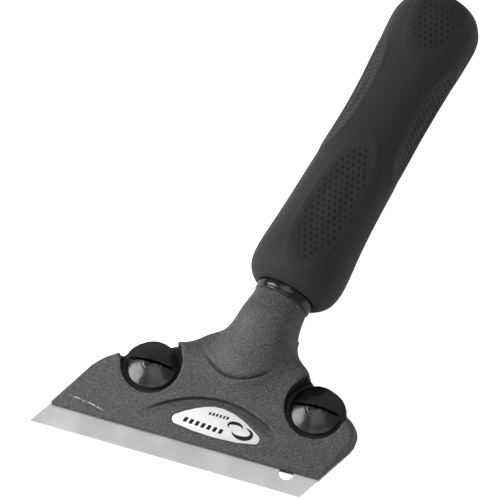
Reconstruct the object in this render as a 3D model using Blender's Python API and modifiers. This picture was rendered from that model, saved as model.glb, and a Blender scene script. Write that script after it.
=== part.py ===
"""Hand floor scraper: a cast skewed head that clamps a 100 mm blade under two coin screws.

X runs along the cutting edge, +Y runs from the edge towards the handle and +Z is up.
The origin lies midway between the two clamp screws, on the underside of the clamp plate.
"""

import math

import bmesh
import bpy
from mathutils import Matrix, Vector

MM = 0.001

# Clearances
FLAT_GAP = 0.10 * MM
ROUND_GAP = 0.15 * MM
SCREW_GAP = 0.30 * MM

# Blade
BLADE_LENGTH = 100.0 * MM
BLADE_WIDTH = 18.0 * MM
BLADE_THICKNESS = 0.5 * MM
BLADE_SKEW = math.radians(30.0)
BLADE_BEVEL = 1.7 * MM
BLADE_EDGE_THICKNESS = 0.06 * MM
BLADE_HOLE_RADIUS = 2.6 * MM
BLADE_HOLE_FROM_END = 5.9 * MM
BLADE_EXPOSED = 9.6 * MM

# Clamp screws and the parts on their axes
SCREW_SPACING = 61.0 * MM
SCREW_FROM_EDGE = 33.0 * MM
SCREW_FROM_BLADE_LEFT = 67.3 * MM
SHANK_RADIUS = 3.0 * MM
SCREW_HEAD_RADIUS = 9.25 * MM
SCREW_RIM_HEIGHT = 1.0 * MM
SCREW_CONE_HEIGHT = 2.5 * MM
SCREW_CROWN_RADIUS = 4.6 * MM
SCREW_CROWN_HEIGHT = 0.9 * MM
SCREW_SLOT_WIDTH = 0.9 * MM
SCREW_SLOT_DEPTH = 2.4 * MM
WASHER_RADIUS = 8.2 * MM
WASHER_THICKNESS = 0.7 * MM
RING_RADIUS = 4.6 * MM
RING_THICKNESS = 0.6 * MM
INSERT_RADIUS = 4.6 * MM

# Clamp plate
PLATE_THICKNESS = 2.5 * MM
PLATE_INSET = 0.3 * MM
PLATE_BACK = 8.6 * MM

# Cast head
HEAD_FRONT_THICKNESS = 1.4 * MM
HEAD_SLOPE = math.radians(15.4)
HEAD_BACK = 1.0 * MM
HEAD_CORNER_RADIUS = 7.0 * MM
HEAD_EDGE_ROUND = 0.7 * MM
POCKET_RADIUS = 11.1 * MM
POCKET_FLOOR_THICKNESS = 2.2 * MM
BOSS_RADIUS = 9.3 * MM
WEB_SHOULDER = 9.6 * MM
WEB_LENGTH = 25.0 * MM
WEB_TOP = 13.2 * MM

# Neck and handle axis
SEAM_X = 7.7 * MM
SEAM_Y = 32.1 * MM
SEAM_HEIGHT = 16.4 * MM
HANDLE_LEAN = math.radians(11.0)
HANDLE_RISE = math.radians(4.2)
NECK_RADIUS = 10.2 * MM
NECK_SIDES = 40

# Label
LABEL_LEFT = -17.9 * MM
LABEL_RIGHT = 15.2 * MM
LABEL_LINE = -17.3 * MM
LABEL_RISE = 8.0 * MM
LABEL_DROP = 2.3 * MM
LABEL_THICKNESS = 0.35 * MM
LABEL_RECESS = 0.30 * MM

# Tang and handle, measured along the handle axis from the seam
TANG_RADIUS = 4.0 * MM
TANG_DEPTH = 19.0 * MM
COLLAR_RADIUS = 10.7 * MM
COLLAR_LENGTH = 7.0 * MM
COLLAR_CHAMFER = 0.5 * MM
GRIP_START = 3.8 * MM
GRIP_LENGTH = 128.8 * MM
CORE_RADIUS = 9.0 * MM
CORE_POCKET_RADIUS = 8.0 * MM
CORE_POCKET_DEPTH = 15.0 * MM
TANG_WASHER_RADIUS = 7.6 * MM
TANG_WASHER_THICKNESS = 1.2 * MM
TANG_NUT_ACROSS_FLATS = 13.0 * MM
TANG_NUT_HEIGHT = 6.0 * MM
TANG_NUT_STANDOUT = 1.5 * MM
PLUG_CAP_RADIUS = 8.6 * MM
PLUG_CAP_THICKNESS = 2.4 * MM
PLUG_STEM_LENGTH = 4.0 * MM

ROUND_STEPS = 56

# Levels above the underside of the clamp plate
PLATE_TOP = PLATE_THICKNESS
BLADE_TOP = PLATE_TOP
BLADE_BOTTOM = BLADE_TOP - BLADE_THICKNESS
HEAD_BASE = PLATE_TOP + FLAT_GAP
POCKET_FLOOR = HEAD_BASE + POCKET_FLOOR_THICKNESS
WASHER_BOTTOM = POCKET_FLOOR + FLAT_GAP
SCREW_SEAT = WASHER_BOTTOM + WASHER_THICKNESS + FLAT_GAP
SCREW_TOP = SCREW_SEAT + SCREW_RIM_HEIGHT + SCREW_CONE_HEIGHT + SCREW_CROWN_HEIGHT

# Plan positions that follow from the sizes
EDGE_Y = -SCREW_FROM_EDGE
BLADE_BACK_Y = EDGE_Y + BLADE_WIDTH
HEAD_FRONT_Y = EDGE_Y + BLADE_EXPOSED
BLADE_LEFT_X = -SCREW_FROM_BLADE_LEFT
SCREWS = {"left": -SCREW_SPACING / 2, "right": SCREW_SPACING / 2}


def clear_scene():
    """Remove whatever the scene already holds."""
    for obj in list(bpy.data.objects):
        bpy.data.objects.remove(obj, do_unlink=True)


def new_collection(name):
    """A collection linked to the scene."""
    collection = bpy.data.collections.new(name)
    bpy.context.scene.collection.children.link(collection)
    return collection


def make_material(name, colour, roughness, metallic):
    """A plain Principled material."""
    material = bpy.data.materials.new(name)
    material.use_nodes = True
    shader = material.node_tree.nodes["Principled BSDF"]
    shader.inputs["Base Color"].default_value = (*colour, 1.0)
    shader.inputs["Roughness"].default_value = roughness
    shader.inputs["Metallic"].default_value = metallic
    material.diffuse_color = (*colour, 1.0)
    return material


def link_mesh(name, mesh, collection):
    """A new object that carries the mesh."""
    obj = bpy.data.objects.new(name, mesh)
    collection.objects.link(obj)
    return obj


def bake(obj):
    """Replace an object's mesh by its evaluated one and drop its modifiers."""
    graph = bpy.context.evaluated_depsgraph_get()
    mesh = bpy.data.meshes.new_from_object(obj.evaluated_get(graph), depsgraph=graph)
    obj.modifiers.clear()
    obj.data = mesh
    return obj


def face_outward(mesh):
    """Turn every face of a closed mesh outward."""
    shape = bmesh.new()
    shape.from_mesh(mesh)
    bmesh.ops.recalc_face_normals(shape, faces=shape.faces)
    shape.to_mesh(mesh)
    shape.free()


def skew_x(left, y):
    """X of a slanted side that passes x = left at the cutting edge."""
    return left + (y - EDGE_Y) * math.tan(BLADE_SKEW)


def rounded_outline(corners, steps=6):
    """Points of a closed outline whose corners (x, y, radius) are filleted."""
    points = []
    count = len(corners)
    for index, (x, y, radius) in enumerate(corners):
        here = Vector((x, y))
        before = Vector(corners[index - 1][:2]) - here
        after = Vector(corners[(index + 1) % count][:2]) - here
        if radius == 0.0:
            points.append(here)
            continue
        half = before.angle(after) / 2
        reach = radius / math.tan(half)
        middle = (before.normalized() + after.normalized()).normalized()
        centre = here + middle * (radius / math.sin(half))
        start = here + before.normalized() * reach - centre
        end = here + after.normalized() * reach - centre
        turn = start.angle_signed(end)
        for step in range(steps + 1):
            swing = Matrix.Rotation(-turn * step / steps, 2)
            points.append(centre + swing @ start)
    return points


def arc_points(start, end, rise, steps):
    """Points of a circular arc from start to end that bulges by rise to the left."""
    chord = end - start
    length = chord.length
    radius = (length ** 2 / 4 + rise ** 2) / (2 * rise)
    normal = Vector((-chord.y, chord.x)).normalized()
    centre = start + chord / 2 + normal * (rise - radius)
    sweep = 2 * math.asin(length / 2 / abs(radius)) * (1 if rise > 0 else -1)
    return [centre + Matrix.Rotation(-sweep * step / steps, 2) @ (start - centre)
            for step in range(steps)]


def prism(name, outline, bottom, top, collection):
    """A flat outline, drawn as a filled curve, thickened between two levels."""
    curve = bpy.data.curves.new(name, "CURVE")
    curve.dimensions = "2D"
    curve.fill_mode = "BOTH"
    curve.extrude = (top - bottom) / 2
    spline = curve.splines.new("POLY")
    spline.points.add(len(outline) - 1)
    for point, place in zip(spline.points, outline):
        point.co = (place.x, place.y, 0.0, 1.0)
    spline.use_cyclic_u = True
    drawn = bpy.data.objects.new(name + "_outline", curve)
    collection.objects.link(drawn)
    bpy.context.view_layer.update()
    graph = bpy.context.evaluated_depsgraph_get()
    mesh = bpy.data.meshes.new_from_object(drawn.evaluated_get(graph), depsgraph=graph)
    bpy.data.objects.remove(drawn, do_unlink=True)
    bpy.data.curves.remove(curve)
    shape = bmesh.new()
    shape.from_mesh(mesh)
    bmesh.ops.remove_doubles(shape, verts=shape.verts, dist=0.001 * MM)
    bmesh.ops.translate(shape, verts=shape.verts, vec=(0.0, 0.0, (top + bottom) / 2))
    bmesh.ops.recalc_face_normals(shape, faces=shape.faces)
    shape.to_mesh(mesh)
    shape.free()
    mesh.name = name
    return link_mesh(name, mesh, collection)


def turned(name, profile, collection, steps=ROUND_STEPS):
    """A closed turned body; the profile (radius, height) runs down its outer side."""
    shape = bmesh.new()
    verts = [shape.verts.new((radius, 0.0, height)) for radius, height in profile]
    closed = profile[0][0] > 0.0
    for first, second in zip(verts, verts[1:]):
        shape.edges.new((first, second))
    if closed:
        shape.edges.new((verts[-1], verts[0]))
    mesh = bpy.data.meshes.new(name)
    shape.to_mesh(mesh)
    shape.free()
    obj = link_mesh(name, mesh, collection)
    screw = obj.modifiers.new("Turn", "SCREW")
    screw.axis = "Z"
    screw.steps = steps
    screw.render_steps = steps
    screw.use_merge_vertices = True
    screw.merge_threshold = 0.001 * MM
    bake(obj)
    face_outward(obj.data)
    return obj


def cylinder(name, radius, bottom, top, collection, centre=(0.0, 0.0), steps=ROUND_STEPS):
    """A capped cylinder between two levels."""
    shape = bmesh.new()
    middle = Matrix.Translation((centre[0], centre[1], (top + bottom) / 2))
    bmesh.ops.create_cone(shape, cap_ends=True, segments=steps, radius1=radius,
                          radius2=radius, depth=top - bottom, matrix=middle)
    mesh = bpy.data.meshes.new(name)
    shape.to_mesh(mesh)
    shape.free()
    return link_mesh(name, mesh, collection)


def block(name, low, high, collection):
    """A box between two opposite corners."""
    size = Vector(high) - Vector(low)
    middle = (Vector(high) + Vector(low)) / 2
    shape = bmesh.new()
    matrix = Matrix.Translation(middle) @ Matrix.Diagonal((*size, 1.0))
    bmesh.ops.create_cube(shape, size=1.0, matrix=matrix)
    mesh = bpy.data.meshes.new(name)
    shape.to_mesh(mesh)
    shape.free()
    return link_mesh(name, mesh, collection)


def cut(obj, cutters, operation="DIFFERENCE"):
    """Apply exact Booleans between an object and its cutters."""
    for index, cutter in enumerate(cutters):
        boolean = obj.modifiers.new("Cut %d" % index, "BOOLEAN")
        boolean.operation = operation
        boolean.solver = "EXACT"
        boolean.object = cutter
        cutter.hide_render = True
        cutter.display_type = "WIRE"
    bpy.context.view_layer.update()
    return bake(obj)


def round_edges(obj, width, angle, segments=2):
    """Bevel the edges that are sharper than the angle."""
    bevel = obj.modifiers.new("Rounded edges", "BEVEL")
    bevel.width = width
    bevel.segments = segments
    bevel.limit_method = "ANGLE"
    bevel.angle_limit = angle
    bevel.use_clamp_overlap = True
    return bake(obj)


def finish(obj, material, origin=None):
    """Give a piece its material and smooth shading and set its origin."""
    if origin is not None:
        obj.data.transform(Matrix.Translation(-Vector(origin)))
        obj.location = origin
    obj.data.materials.clear()
    obj.data.materials.append(material)
    for face in obj.data.polygons:
        face.use_smooth = True
        face.material_index = 0
    obj.data.set_sharp_from_angle(angle=math.radians(35.0))
    return obj


def wedge_height(y):
    """Height of the head's sloping top face at a distance behind the screws."""
    return HEAD_BASE + HEAD_FRONT_THICKNESS + (y - HEAD_FRONT_Y) * math.tan(HEAD_SLOPE)


def lobe_corners(inset):
    """Corners shared by the head and the plate: the front edge and both rounded lobes."""
    left = BLADE_LEFT_X + inset / math.cos(BLADE_SKEW)
    right = BLADE_LEFT_X + BLADE_LENGTH - inset / math.cos(BLADE_SKEW)
    front = HEAD_FRONT_Y + inset / 2
    back = HEAD_BACK - inset
    pocket_edge = SCREW_SPACING / 2 + POCKET_RADIUS * 0.9
    return {
        "front": [(skew_x(left, front), front, HEAD_EDGE_ROUND),
                  (skew_x(right, front), front, HEAD_EDGE_ROUND)],
        "right": [(skew_x(right, back), back, HEAD_CORNER_RADIUS),
                  (pocket_edge, back, 0.0)],
        "left": [(-pocket_edge, back, 0.0),
                 (skew_x(left, back), back, HEAD_CORNER_RADIUS)],
    }


def axis_x(y):
    """X of the handle axis over a given Y."""
    return SEAM_X + (y - SEAM_Y) * math.tan(HANDLE_LEAN)


def head_outline():
    """Plan outline of the wedge with the web that runs up to the neck."""
    lobes = lobe_corners(0.0)
    inner = SCREW_SPACING / 2 - POCKET_RADIUS * 0.5
    flare = NECK_RADIUS * 1.45
    throat = NECK_RADIUS * 1.12
    middle = WEB_SHOULDER + (WEB_LENGTH - WEB_SHOULDER) * 0.36
    upper = WEB_SHOULDER + (WEB_LENGTH - WEB_SHOULDER) * 0.72
    web = [(inner, WEB_SHOULDER, 1.2 * MM),
           (axis_x(middle) + flare, middle, 5.0 * MM),
           (axis_x(upper) + throat, upper, 5.0 * MM),
           (axis_x(WEB_LENGTH) + throat * 0.9, WEB_LENGTH, 0.0),
           (axis_x(WEB_LENGTH) - throat * 0.9, WEB_LENGTH, 0.0),
           (axis_x(upper) - throat, upper, 5.0 * MM),
           (axis_x(middle) - flare, middle, 5.0 * MM),
           (-inner, WEB_SHOULDER, 1.2 * MM)]
    return rounded_outline(lobes["front"] + lobes["right"] + web + lobes["left"])


def neck_section(distance, half_width, low, high, squareness):
    """One cross-section of the neck: an arched top over a flatter underside."""
    points = []
    middle = (low + high) / 2
    reach = (high - low) / 2
    for side in range(NECK_SIDES):
        angle = 2 * math.pi * side / NECK_SIDES
        across = math.cos(angle)
        up = math.sin(angle)
        power = 1.0 if up >= 0.0 else squareness
        x = half_width * math.copysign(abs(across) ** power, across)
        y = middle + reach * math.copysign(abs(up) ** power, up)
        points.append(Vector((x, y, distance)))
    return points


def handle_matrix():
    """Frame of the handle: origin at the neck seam, +Z along the handle, +Y up."""
    along = Vector((math.sin(HANDLE_LEAN) * math.cos(HANDLE_RISE),
                    math.cos(HANDLE_LEAN) * math.cos(HANDLE_RISE),
                    math.sin(HANDLE_RISE)))
    across = Vector((math.cos(HANDLE_LEAN), -math.sin(HANDLE_LEAN), 0.0))
    up = along.cross(across)
    if up.z < 0.0:
        up = -up
    frame = Matrix((-across, up, along)).transposed().to_4x4()
    return Matrix.Translation((SEAM_X, SEAM_Y, SEAM_HEIGHT)) @ frame


def neck_body(collection):
    """The neck as a loft from a low tongue on the wedge to a round spigot at the seam."""
    stations = [
        (-35.5 * MM, 4.5 * MM, 9.9 * MM, 0.55),
        (-33.5 * MM, 7.5 * MM, 11.6 * MM, 0.55),
        (-30.5 * MM, 10.3 * MM, 13.8 * MM, 0.55),
        (-25.5 * MM, 12.0 * MM, 17.2 * MM, 0.55),
        (-19.5 * MM, 12.9 * MM, 21.7 * MM, 0.6),
        (-14.0 * MM, 12.8 * MM, 25.0 * MM, 0.7),
        (-8.5 * MM, 11.7 * MM, 26.6 * MM, 0.85),
        (-4.0 * MM, 10.7 * MM, 26.8 * MM, 0.95),
        (0.0 * MM, NECK_RADIUS, SEAM_HEIGHT + NECK_RADIUS, 1.0),
    ]
    shape = bmesh.new()
    rings = []
    for distance, half_width, crest, squareness in stations:
        axis_height = SEAM_HEIGHT + distance * math.sin(HANDLE_RISE)
        underside = max(HEAD_BASE + FLAT_GAP, axis_height - NECK_RADIUS + distance * 0.28)
        section = neck_section(distance, half_width, underside - axis_height,
                               crest - axis_height, squareness)
        rings.append([shape.verts.new(point) for point in section])
    for lower, upper in zip(rings, rings[1:]):
        for side in range(NECK_SIDES):
            following = (side + 1) % NECK_SIDES
            shape.faces.new((lower[side], lower[following], upper[following], upper[side]))
    shape.faces.new(rings[0])
    shape.faces.new(rings[-1])
    bmesh.ops.recalc_face_normals(shape, faces=shape.faces)
    bmesh.ops.transform(shape, matrix=handle_matrix(), verts=shape.verts)
    bmesh.ops.recalc_face_normals(shape, faces=shape.faces)
    mesh = bpy.data.meshes.new("neck")
    shape.to_mesh(mesh)
    shape.free()
    return link_mesh("neck", mesh, collection)


def label_outline(margin):
    """Leaf outline of the label, grown outward by a margin."""
    left = Vector((LABEL_LEFT - margin, LABEL_LINE))
    right = Vector((LABEL_RIGHT + margin, LABEL_LINE))
    lower = arc_points(left, right, -(LABEL_DROP + margin), 14)
    upper = arc_points(right, left, -(LABEL_RISE + margin), 18)
    return lower + upper


def wedge_tool(name, outline, low, high, collection):
    """A prism that stands square on the head's sloping top face."""
    tool = prism(name, outline, low, high, collection)
    seat = Matrix.Translation((0.0, LABEL_LINE, wedge_height(LABEL_LINE)))
    tilt = Matrix.Rotation(HEAD_SLOPE, 4, "X")
    back = Matrix.Translation((0.0, -LABEL_LINE, 0.0))
    tool.data.transform(seat @ tilt @ back)
    return tool


def make_head(parts, cutters, material):
    """The casting: wedge, web, neck, screw pockets, label recess and tang socket."""
    height = SEAM_HEIGHT
    head = prism("head_body", head_outline(), HEAD_BASE, WEB_TOP, parts)
    reach = BLADE_LENGTH
    slope = block("slope_cut", (-reach, -reach, 0.0), (reach, reach, reach), cutters)
    lift = Matrix.Translation((0.0, HEAD_FRONT_Y, HEAD_BASE + HEAD_FRONT_THICKNESS))
    slope.data.transform(lift @ Matrix.Rotation(HEAD_SLOPE, 4, "X"))
    cut(head, [slope])
    round_edges(head, HEAD_EDGE_ROUND, math.radians(60.0))
    cut(head, [neck_body(cutters)], "UNION")
    bosses = [cylinder(side + "_boss", BOSS_RADIUS, HEAD_BASE, POCKET_FLOOR, cutters,
                       (x, 0.0)) for side, x in SCREWS.items()]
    cut(head, bosses, "UNION")
    tools = []
    for side, x in SCREWS.items():
        tools.append(cylinder(side + "_pocket", POCKET_RADIUS, POCKET_FLOOR, 2 * height,
                              cutters, (x, 0.0)))
        tools.append(cylinder(side + "_hole", SHANK_RADIUS + SCREW_GAP, 0.0, height,
                              cutters, (x, 0.0)))
        tools.append(cylinder(side + "_ring_recess", RING_RADIUS + SCREW_GAP, 0.0,
                              HEAD_BASE + RING_THICKNESS + 2 * FLAT_GAP, cutters,
                              (x, 0.0)))
    socket = cylinder("socket", TANG_RADIUS + ROUND_GAP, -TANG_DEPTH - SCREW_GAP,
                      TANG_DEPTH, cutters)
    socket.data.transform(handle_matrix())
    tools.append(socket)
    recess = wedge_tool("label_recess", label_outline(SCREW_GAP), -LABEL_RECESS,
                        height, cutters)
    tools.append(recess)
    cut(head, tools)
    return finish(head, material)


def make_label(parts, material):
    """The label, a thin leaf that lies in its recess."""
    low = FLAT_GAP - LABEL_RECESS
    label = wedge_tool("label_plate", label_outline(0.0), low, low + LABEL_THICKNESS, parts)
    return finish(label, material)


def make_plate(parts, cutters, material):
    """The clamp plate with its blade seat and the holes for both thread inserts."""
    lobes = lobe_corners(PLATE_INSET)
    shoulder = SCREW_SPACING / 2 - POCKET_RADIUS * 0.5
    web = [(shoulder, PLATE_BACK, 2.0 * MM), (-shoulder, PLATE_BACK, 2.0 * MM)]
    outline = rounded_outline(lobes["front"] + lobes["right"] + web + lobes["left"])
    plate = prism("clamp_plate", outline, 0.0, PLATE_TOP, parts)
    bosses = [cylinder(side + "_lobe", BOSS_RADIUS - PLATE_INSET, 0.0, PLATE_TOP, cutters,
                       (x, 0.0)) for side, x in SCREWS.items()]
    cut(plate, bosses, "UNION")
    reach = BLADE_LENGTH
    seat = block("blade_seat", (-reach, -reach, BLADE_BOTTOM - FLAT_GAP),
                 (reach, BLADE_BACK_Y + FLAT_GAP, 2 * PLATE_TOP), cutters)
    holes = [cylinder(side + "_insert_hole", INSERT_RADIUS + ROUND_GAP, -PLATE_TOP,
                      2 * PLATE_TOP, cutters, (x, 0.0)) for side, x in SCREWS.items()]
    cut(plate, [seat] + holes)
    return finish(plate, material)


def make_blade(parts, cutters, material):
    """The parallelogram blade with a ground edge and its round tail hole."""
    right = BLADE_LEFT_X + BLADE_LENGTH
    corners = [Vector((skew_x(BLADE_LEFT_X, EDGE_Y), EDGE_Y)),
               Vector((skew_x(right, EDGE_Y), EDGE_Y)),
               Vector((skew_x(right, BLADE_BACK_Y), BLADE_BACK_Y)),
               Vector((skew_x(BLADE_LEFT_X, BLADE_BACK_Y), BLADE_BACK_Y))]
    blade = prism("blade", corners, BLADE_BOTTOM, BLADE_TOP, parts)
    tools = []
    grind = (BLADE_THICKNESS - BLADE_EDGE_THICKNESS) / 2
    for level, up in ((BLADE_TOP, 1), (BLADE_BOTTOM, -1)):
        wheel = block("grind_%d" % (up + 1), (-BLADE_LENGTH, -BLADE_WIDTH, 0.0),
                      (BLADE_LENGTH, 0.0, BLADE_WIDTH), cutters)
        if up < 0:
            wheel.data.transform(Matrix.Translation((0.0, 0.0, -BLADE_WIDTH)))
        lean = Matrix.Rotation(up * math.atan2(grind, BLADE_BEVEL), 4, "X")
        lift = Matrix.Translation((0.0, EDGE_Y + BLADE_BEVEL, level))
        wheel.data.transform(lift @ lean)
        tools.append(wheel)
    hole_y = EDGE_Y + BLADE_WIDTH / 2
    hole_x = skew_x(right, EDGE_Y) - BLADE_HOLE_FROM_END
    tools.append(cylinder("tail_hole", BLADE_HOLE_RADIUS, 0.0, 2 * BLADE_TOP, cutters,
                          (hole_x, hole_y), 32))
    cut(blade, tools)
    return finish(blade, material)


def make_screw(side, parts, cutters, material):
    """A clamp screw: plain shank, rimmed conical head and a coin slot across it."""
    rim = SCREW_RIM_HEIGHT
    crown = rim + SCREW_CONE_HEIGHT
    ease = 0.25 * MM
    profile = [(0.0, crown + SCREW_CROWN_HEIGHT),
               (SCREW_CROWN_RADIUS * 0.55, crown + SCREW_CROWN_HEIGHT * 0.8),
               (SCREW_CROWN_RADIUS, crown),
               (SCREW_HEAD_RADIUS - ease, rim),
               (SCREW_HEAD_RADIUS, rim - ease),
               (SCREW_HEAD_RADIUS, ease),
               (SCREW_HEAD_RADIUS - ease, 0.0),
               (SHANK_RADIUS, 0.0),
               (SHANK_RADIUS, -SCREW_SEAT + 2 * FLAT_GAP + ease),
               (SHANK_RADIUS - ease, -SCREW_SEAT + 2 * FLAT_GAP),
               (0.0, -SCREW_SEAT + 2 * FLAT_GAP)]
    screw = turned(side + "_clamp_screw", profile, parts)
    top = SCREW_TOP - SCREW_SEAT
    slot = block(side + "_slot", (-2 * SCREW_HEAD_RADIUS, -SCREW_SLOT_WIDTH / 2,
                                  top - SCREW_SLOT_DEPTH),
                 (2 * SCREW_HEAD_RADIUS, SCREW_SLOT_WIDTH / 2, 2 * top), cutters)
    cut(screw, [slot])
    screw.location = (SCREWS[side], 0.0, SCREW_SEAT)
    return finish(screw, material)


def make_ring(name, side, inner, outer, bottom, thickness, parts, material):
    """A flat ring round a screw axis."""
    profile = [(inner, bottom + thickness), (outer, bottom + thickness),
               (outer, bottom), (inner, bottom)]
    ring = turned(name, profile, parts)
    ring.location = (SCREWS[side], 0.0, 0.0)
    return finish(ring, material)


def grip_profile():
    """Outer radii of the grip from its lip to the rounded end."""
    stations = [(0.0, 12.4), (0.5, 13.3), (2.2, 15.2), (4.4, 16.5), (7.6, 17.2), (11.5, 17.4),
                (17.0, 17.0), (24.0, 16.4), (34.0, 15.9), (47.0, 15.5), (62.0, 15.3),
                (77.0, 15.3), (91.0, 15.5), (102.0, 16.0), (110.0, 16.5), (116.0, 16.8)]
    return [(height * MM, radius * MM) for height, radius in stations]


def make_grip(parts, material):
    """The soft grip sleeve: a waisted outside over a plain bore."""
    outer = grip_profile()
    last_height, last_radius = outer[-1]
    shoulder = GRIP_LENGTH - last_height
    outer += [(last_height + shoulder * math.sin(angle),
               PLUG_CAP_RADIUS + (last_radius - PLUG_CAP_RADIUS) * math.cos(angle))
              for angle in [math.radians(15.0 * step) for step in range(1, 6)]]
    mouth = PLUG_CAP_RADIUS + ROUND_GAP
    bore = CORE_RADIUS + ROUND_GAP
    cap_seat = GRIP_LENGTH - PLUG_CAP_THICKNESS - 2 * FLAT_GAP
    collar_seat = COLLAR_LENGTH - GRIP_START + FLAT_GAP
    profile = [(mouth + 0.9 * MM, GRIP_LENGTH)]
    profile += [(radius, height) for height, radius in reversed(outer)]
    profile += [(COLLAR_RADIUS + ROUND_GAP, 0.0),
                (COLLAR_RADIUS + ROUND_GAP, collar_seat),
                (bore, collar_seat),
                (bore, cap_seat),
                (mouth, cap_seat),
                (mouth, GRIP_LENGTH)]
    grip = turned("rubber_grip", profile, parts, 64)
    grip.data.transform(Matrix.Translation((0.0, 0.0, GRIP_START)))
    return finish(grip, material)


def make_handle(parts, cutters, materials):
    """Everything on the handle axis, in the handle's own frame."""
    end = GRIP_START + GRIP_LENGTH
    ease = COLLAR_CHAMFER
    bore = TANG_RADIUS + ROUND_GAP
    collar = turned("neck_collar", [
        (bore, COLLAR_LENGTH), (COLLAR_RADIUS, COLLAR_LENGTH),
        (COLLAR_RADIUS, FLAT_GAP + ease), (COLLAR_RADIUS - ease, FLAT_GAP),
        (bore, FLAT_GAP)], parts)
    finish(collar, materials["collar"])

    core_start = COLLAR_LENGTH + 2 * FLAT_GAP
    core_end = end - PLUG_CAP_THICKNESS - 3 * FLAT_GAP
    pocket_floor = core_end - CORE_POCKET_DEPTH
    core = turned("handle_core", [
        (CORE_POCKET_RADIUS, core_end), (CORE_RADIUS, core_end),
        (CORE_RADIUS, core_start), (bore, core_start),
        (bore, pocket_floor), (CORE_POCKET_RADIUS, pocket_floor)], parts)
    finish(core, materials["core"])

    washer_start = pocket_floor + FLAT_GAP
    washer_end = washer_start + TANG_WASHER_THICKNESS
    washer = turned("tang_washer", [
        (bore, washer_end), (TANG_WASHER_RADIUS, washer_end),
        (TANG_WASHER_RADIUS, washer_start), (bore, washer_start)], parts)
    finish(washer, materials["zinc"])

    nut_start = washer_end + FLAT_GAP
    nut_end = nut_start + TANG_NUT_HEIGHT
    corner = TANG_NUT_ACROSS_FLATS / math.sqrt(3.0)
    nut = cylinder("tang_nut", corner, nut_start, nut_end, parts, steps=6)
    cut(nut, [cylinder("nut_bore", bore, 0.0, end, cutters)])
    finish(nut, materials["zinc"])

    tang_end = nut_end + TANG_NUT_STANDOUT
    tang = turned("tang_rod", [
        (0.0, tang_end), (TANG_RADIUS - ease, tang_end), (TANG_RADIUS, tang_end - ease),
        (TANG_RADIUS, ease - TANG_DEPTH), (TANG_RADIUS - ease, -TANG_DEPTH),
        (0.0, -TANG_DEPTH)], parts)
    finish(tang, materials["steel"])

    cap_start = end - PLUG_CAP_THICKNESS
    stem = CORE_POCKET_RADIUS - ROUND_GAP
    plug = turned("end_plug", [
        (0.0, end), (PLUG_CAP_RADIUS - ease, end), (PLUG_CAP_RADIUS, end - ease),
        (PLUG_CAP_RADIUS, cap_start), (stem, cap_start),
        (stem, cap_start - PLUG_STEM_LENGTH), (0.0, cap_start - PLUG_STEM_LENGTH)], parts)
    finish(plug, materials["core"])

    grip = make_grip(parts, materials["grip"])

    axis = bpy.data.objects.new("handle_axis", None)
    parts.objects.link(axis)
    axis.matrix_world = handle_matrix()
    for piece in (collar, core, washer, nut, tang, plug, grip):
        piece.parent = axis


def make_materials():
    """One material for each finish."""
    return {
        "head": make_material("grey_hammered_paint", (0.085, 0.085, 0.089), 0.5, 0.55),
        "plate": make_material("blackened_steel", (0.030, 0.030, 0.032), 0.45, 0.8),
        "blade": make_material("ground_blade_steel", (0.62, 0.62, 0.63), 0.28, 1.0),
        "screw": make_material("black_nickel", (0.035, 0.036, 0.040), 0.2, 0.85),
        "washer": make_material("black_washer", (0.016, 0.016, 0.017), 0.45, 0.3),
        "insert": make_material("yellow_brass", (0.56, 0.40, 0.16), 0.35, 1.0),
        "ring": make_material("spring_steel", (0.22, 0.22, 0.23), 0.35, 1.0),
        "label": make_material("silver_label", (0.62, 0.63, 0.64), 0.35, 0.3),
        "collar": make_material("gloss_black_collar", (0.014, 0.014, 0.015), 0.15, 0.2),
        "core": make_material("black_nylon", (0.022, 0.022, 0.023), 0.5, 0.0),
        "zinc": make_material("zinc_plate", (0.50, 0.51, 0.52), 0.35, 1.0),
        "steel": make_material("turned_steel", (0.42, 0.42, 0.43), 0.35, 1.0),
        "grip": make_material("soft_black_rubber", (0.034, 0.034, 0.031), 0.72, 0.0),
    }


def main():
    """Build every piece of the scraper."""
    clear_scene()
    parts = new_collection("floor_scraper")
    cutters = new_collection("cutters")
    materials = make_materials()
    make_head(parts, cutters, materials["head"])
    make_label(parts, materials["label"])
    make_plate(parts, cutters, materials["plate"])
    make_blade(parts, cutters, materials["blade"])
    for side in SCREWS:
        make_screw(side, parts, cutters, materials["screw"])
        make_ring(side + "_screw_washer", side, SHANK_RADIUS + ROUND_GAP, WASHER_RADIUS,
                  WASHER_BOTTOM, WASHER_THICKNESS, parts, materials["washer"])
        make_ring(side + "_retaining_ring", side, SHANK_RADIUS + ROUND_GAP, RING_RADIUS,
                  HEAD_BASE + FLAT_GAP, RING_THICKNESS, parts, materials["ring"])
        make_ring(side + "_thread_insert", side, SHANK_RADIUS + ROUND_GAP, INSERT_RADIUS,
                  2 * FLAT_GAP, PLATE_TOP - 3 * FLAT_GAP, parts, materials["insert"])
    make_handle(parts, cutters, materials)


main()
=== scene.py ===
"""Floor scraper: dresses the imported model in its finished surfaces, one step for each group."""

import math

import bmesh
import bpy
import numpy as np
from bpy.props import FloatProperty, FloatVectorProperty, IntProperty, PointerProperty
from mathutils import Matrix, Vector


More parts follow.
